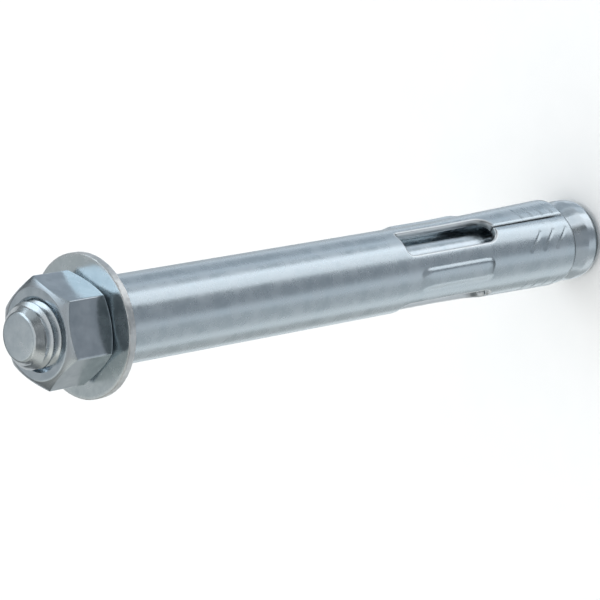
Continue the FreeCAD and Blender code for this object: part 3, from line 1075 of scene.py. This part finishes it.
slanted_marks = mark_row(start_deg=16.5, end_deg=38, first_z=14.5, rise=-3.7, step=3.7, count=3, width=-0.55)
square_marks = mark_row(start_deg=-53, end_deg=-34, first_z=11.4, rise=0.4, step=3.0, count=4, width=-0.38)
roll_tree = make_roll_tree([slanted_marks, square_marks])
print("roll tree has", len(roll_tree.nodes), "nodes")

# %% Roll the sleeve
first_leg_deg = 7.5
seam_deg = first_leg_deg + 360 / leg_count / 2
flare_length = 31.8
panel_low_z = sleeve_end_z + 22.8
panel_high_z = panel_low_z + 21.0
panel_rise = 0.4
baked(sleeve, roll_tree, {
    "Radius": sleeve_r * MM,
    "Seam angle": math.radians(seam_deg),
    "Legs": float(leg_count),
    "Flare start": (sleeve_end_z + flare_length) * MM,
    "Flare length": flare_length * MM,
    "Middle spread": 0.85 * MM,
    "Slit spread": 0.22 * MM,
    "Panel half width": sleeve_r * math.radians(18) * MM,
    "Panel low": panel_low_z * MM,
    "Panel high": panel_high_z * MM,
    "Panel rise": panel_rise * MM,
    "Panel corner": 1.7 * MM,
    "Panel edge": 0.75 * MM,
    "Panel soft edge": 2.3 * MM,
    "Panel end share": 0.65,
    "Mark depth": mark_depth * MM,
    "Finish": strip_zinc,
})
finished(sleeve, 50)

# %% [markdown]
# ## Who carries what
# Each new piece takes the place of one solid of the frame and moves with that solid's body.

# %% Bodies, nodes and slots
for piece, body, node, slot in (
    (stud, "anchor", "stud", "stud_zinc"),
    (sleeve, "anchor", "sleeve", "sleeve_zinc"),
    (washer, "washer", "washer", "washer_zinc"),
    (nut, "nut", "hex_nut", "nut_zinc"),
):
    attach(piece, body)
    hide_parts(node)
    print(piece.name, "moves with", body, "in place of", node)

# %% [markdown]
# ## Studio
# The anchor stands on a plain pale floor that bends up into a wall far behind it, so that a view
# from above shows nothing but pale paper. Bright metal shows the lights more than itself, so the
# lights are large soft panels around the anchor. Low panels make the bands on the tube and the
# sides of the nut, high ones fill the faces that look up, and level ones light rounded edges and
# the views from the side. A last one fills the view from the top. The low panels reach below the
# floor, because a standing tube seen from above reflects what is below its own height. So the floor
# doesn't show in reflections and holds no light back: it only receives light and shade.

# %% Floor and wall
floor_middle_r = 0.5
floor_r = 2.5
wall_r = 4.0
wall_h = 3.0
sweep_angles = np.radians(np.linspace(0, 90, 12))
bend_r = wall_r - floor_r
sweep = [(floor_middle_r, 0), (floor_r, 0)]
sweep += [(floor_r + bend_r * math.sin(a), bend_r * (1 - math.cos(a))) for a in sweep_angles[1:]]
sweep += [(wall_r, wall_h)]
sweep_columns = 64
points, faces = skin([turned_ring(r / MM, z / MM, sweep_columns) for r, z in sweep])
faces = [face[::-1] for face in faces] + [tuple(range(sweep_columns))]
floor = new_piece("studio_floor", points, faces, np.zeros(len(points)))
floor.data.shade_smooth()
floor.visible_glossy = False
floor.visible_shadow = False
print("floor is flat out to", floor_r, "m, and its wall is", wall_h, "m high")

# %% Paper of the floor, matt and faintly mottled by its fibres
paper = bpy.data.materials.new("matt_pale_paper")
paper.use_nodes = True
paper_tree = paper.node_tree
paper_shader = paper_tree.nodes["Principled BSDF"]
paper_shader.inputs["Roughness"].default_value = 0.9
paper_shader.inputs["Specular IOR Level"].default_value = 0.1
paper_place = add(paper_tree, "ShaderNodeTexCoord").outputs["Object"]
fibre = add(paper_tree, "ShaderNodeTexNoise", {"Vector": paper_place, "Scale": per_size(8.0), "Detail": 2.0})
paper_mix = {0: fibre, 6: colour("f4f5f5"), 7: colour("f8f8f8")}
paper_tone = add(paper_tree, "ShaderNodeMix", paper_mix, data_type="RGBA")
paper_tree.links.new(paper_tone.outputs[2], paper_shader.inputs["Base Color"])
floor.data.materials.append(paper)

# %% A light panel
aim = Vector((0, 0, 0.075))


def light_panel(name, round_deg, up_deg, distance, width, height, radiance, tint="ffffff"):
    """A soft panel that faces the anchor. round_deg is 0 on the camera's side and 90 towards X."""
    a, e = math.radians(round_deg), math.radians(up_deg)
    way = Vector((math.sin(a) * math.cos(e), -math.cos(a) * math.cos(e), math.sin(e)))
    lamp = bpy.data.lights.new(name, "AREA")
    lamp.shape = "RECTANGLE"
    lamp.size = width
    lamp.size_y = height
    lamp.energy = radiance * math.pi * width * height
    lamp.color = colour(tint)[:3]
    panel = bpy.data.objects.new(name, lamp)
    panel.location = aim + way * distance
    panel.rotation_mode = "QUATERNION"
    panel.rotation_quaternion = way.to_track_quat("Z", "Y")
    panel.visible_camera = False
    bpy.context.scene.collection.objects.link(panel)
    return panel


# %% All light panels
low_panels = [
    # name, direction round the anchor, width, radiance, tint
    ("key_band", 45, 0.52, 0.92, "fcfdff"),
    ("key_halo", 73, 0.5, 0.36, "f2f8ff"),
    ("cool_side_band", 109, 0.78, 0.33, "e6f2ff"),
    ("rim_band", 154, 0.8, 0.42, "f7fbff"),
    ("front_band", -8, 0.8, 0.2, "eef4ff"),
    ("lower_front_band", -60, 1.15, 0.36, "f8fcff"),
    ("lower_side_band", -120, 1.15, 0.35, "fcfdfa"),
    ("lower_rim_band", -166, 0.7, 0.45, "f6fcff"),
]
high_panels = [
    ("face_fill", 165, 1.0, 0.35, "fcfeff"),
    ("face_key", 118, 0.42, 1.3, "ebf7ff"),
    ("face_side", 88, 0.5, 0.34, "f4fbff"),
    ("far_face_side", -90, 0.5, 0.5, "fffdf4"),
    ("far_face_fill", -135, 1.0, 0.32, "fffdf2"),
]
level_panels = [
    ("edge_glint", 104, 0.75, 1.15, "fcfdff"),
    ("back_level", 150, 1.0, 0.5, "ffffff"),
    ("far_back_level", -150, 1.0, 0.5, "ffffff"),
    ("far_level", -90, 1.0, 0.5, "ffffff"),
    ("front_level", -30, 1.0, 0.3, "ffffff"),
    ("near_level", 30, 1.0, 0.4, "ffffff"),
]
for panels, up_deg, height in ((low_panels, -40, 0.95), (high_panels, 43, 0.75), (level_panels, -4, 0.32)):
    for name, round_deg, width, radiance, tint in panels:
        light_panel(name, round_deg, up_deg, 1.0, width, height, radiance, tint)
light_panel("top_fill", 0, 84, 1.0, 1.0, 1.0, 0.5)
overhead = light_panel("overhead", 0, 90, 2.2, 3.0, 3.0, 1.8)
overhead.visible_glossy = False
print("light panels:", len(bpy.data.lights))

# %% Air of the studio
world = bpy.data.worlds.new("studio_air")
world.use_nodes = True
world.node_tree.nodes["Background"].inputs["Color"].default_value = colour("f2fbff")
world.node_tree.nodes["Background"].inputs["Strength"].default_value = 0.12
bpy.context.scene.world = world
bpy.context.scene.view_settings.view_transform = "Standard"

# %% [markdown]
# ## Camera
# The photograph looks down on the anchor from the side and is rolled, so that the anchor lies
# across the picture. The place, the aim and the roll were worked out from the washer's ellipse and
# the tube's two outlines. A long lens keeps the tube nearly parallel, as it is there.

# %% Camera
camera_place = Vector((0.0, -431.77, 485.81)) * MM
camera_aim = Vector((-2.342, 0.0, 77.61)) * MM
camera_roll_deg = -100.391
lens_mm = 192.17
camera_data = bpy.data.cameras.new("camera")
camera_data.lens = lens_mm
camera_data.sensor_width = 36
camera = bpy.data.objects.new("camera", camera_data)
bpy.context.scene.collection.objects.link(camera)
gaze = camera_aim - camera_place
upright = gaze.to_track_quat("-Z", "Y")
camera.rotation_mode = "QUATERNION"
camera.rotation_quaternion = upright @ Quaternion((0, 0, 1), math.radians(camera_roll_deg))
camera.location = camera_place
camera_data.clip_start = 0.01
camera_data.clip_end = 50
bpy.context.scene.camera = camera
print("camera looks down by", round(math.degrees(math.asin(-gaze.z / gaze.length)), 1), "degrees")
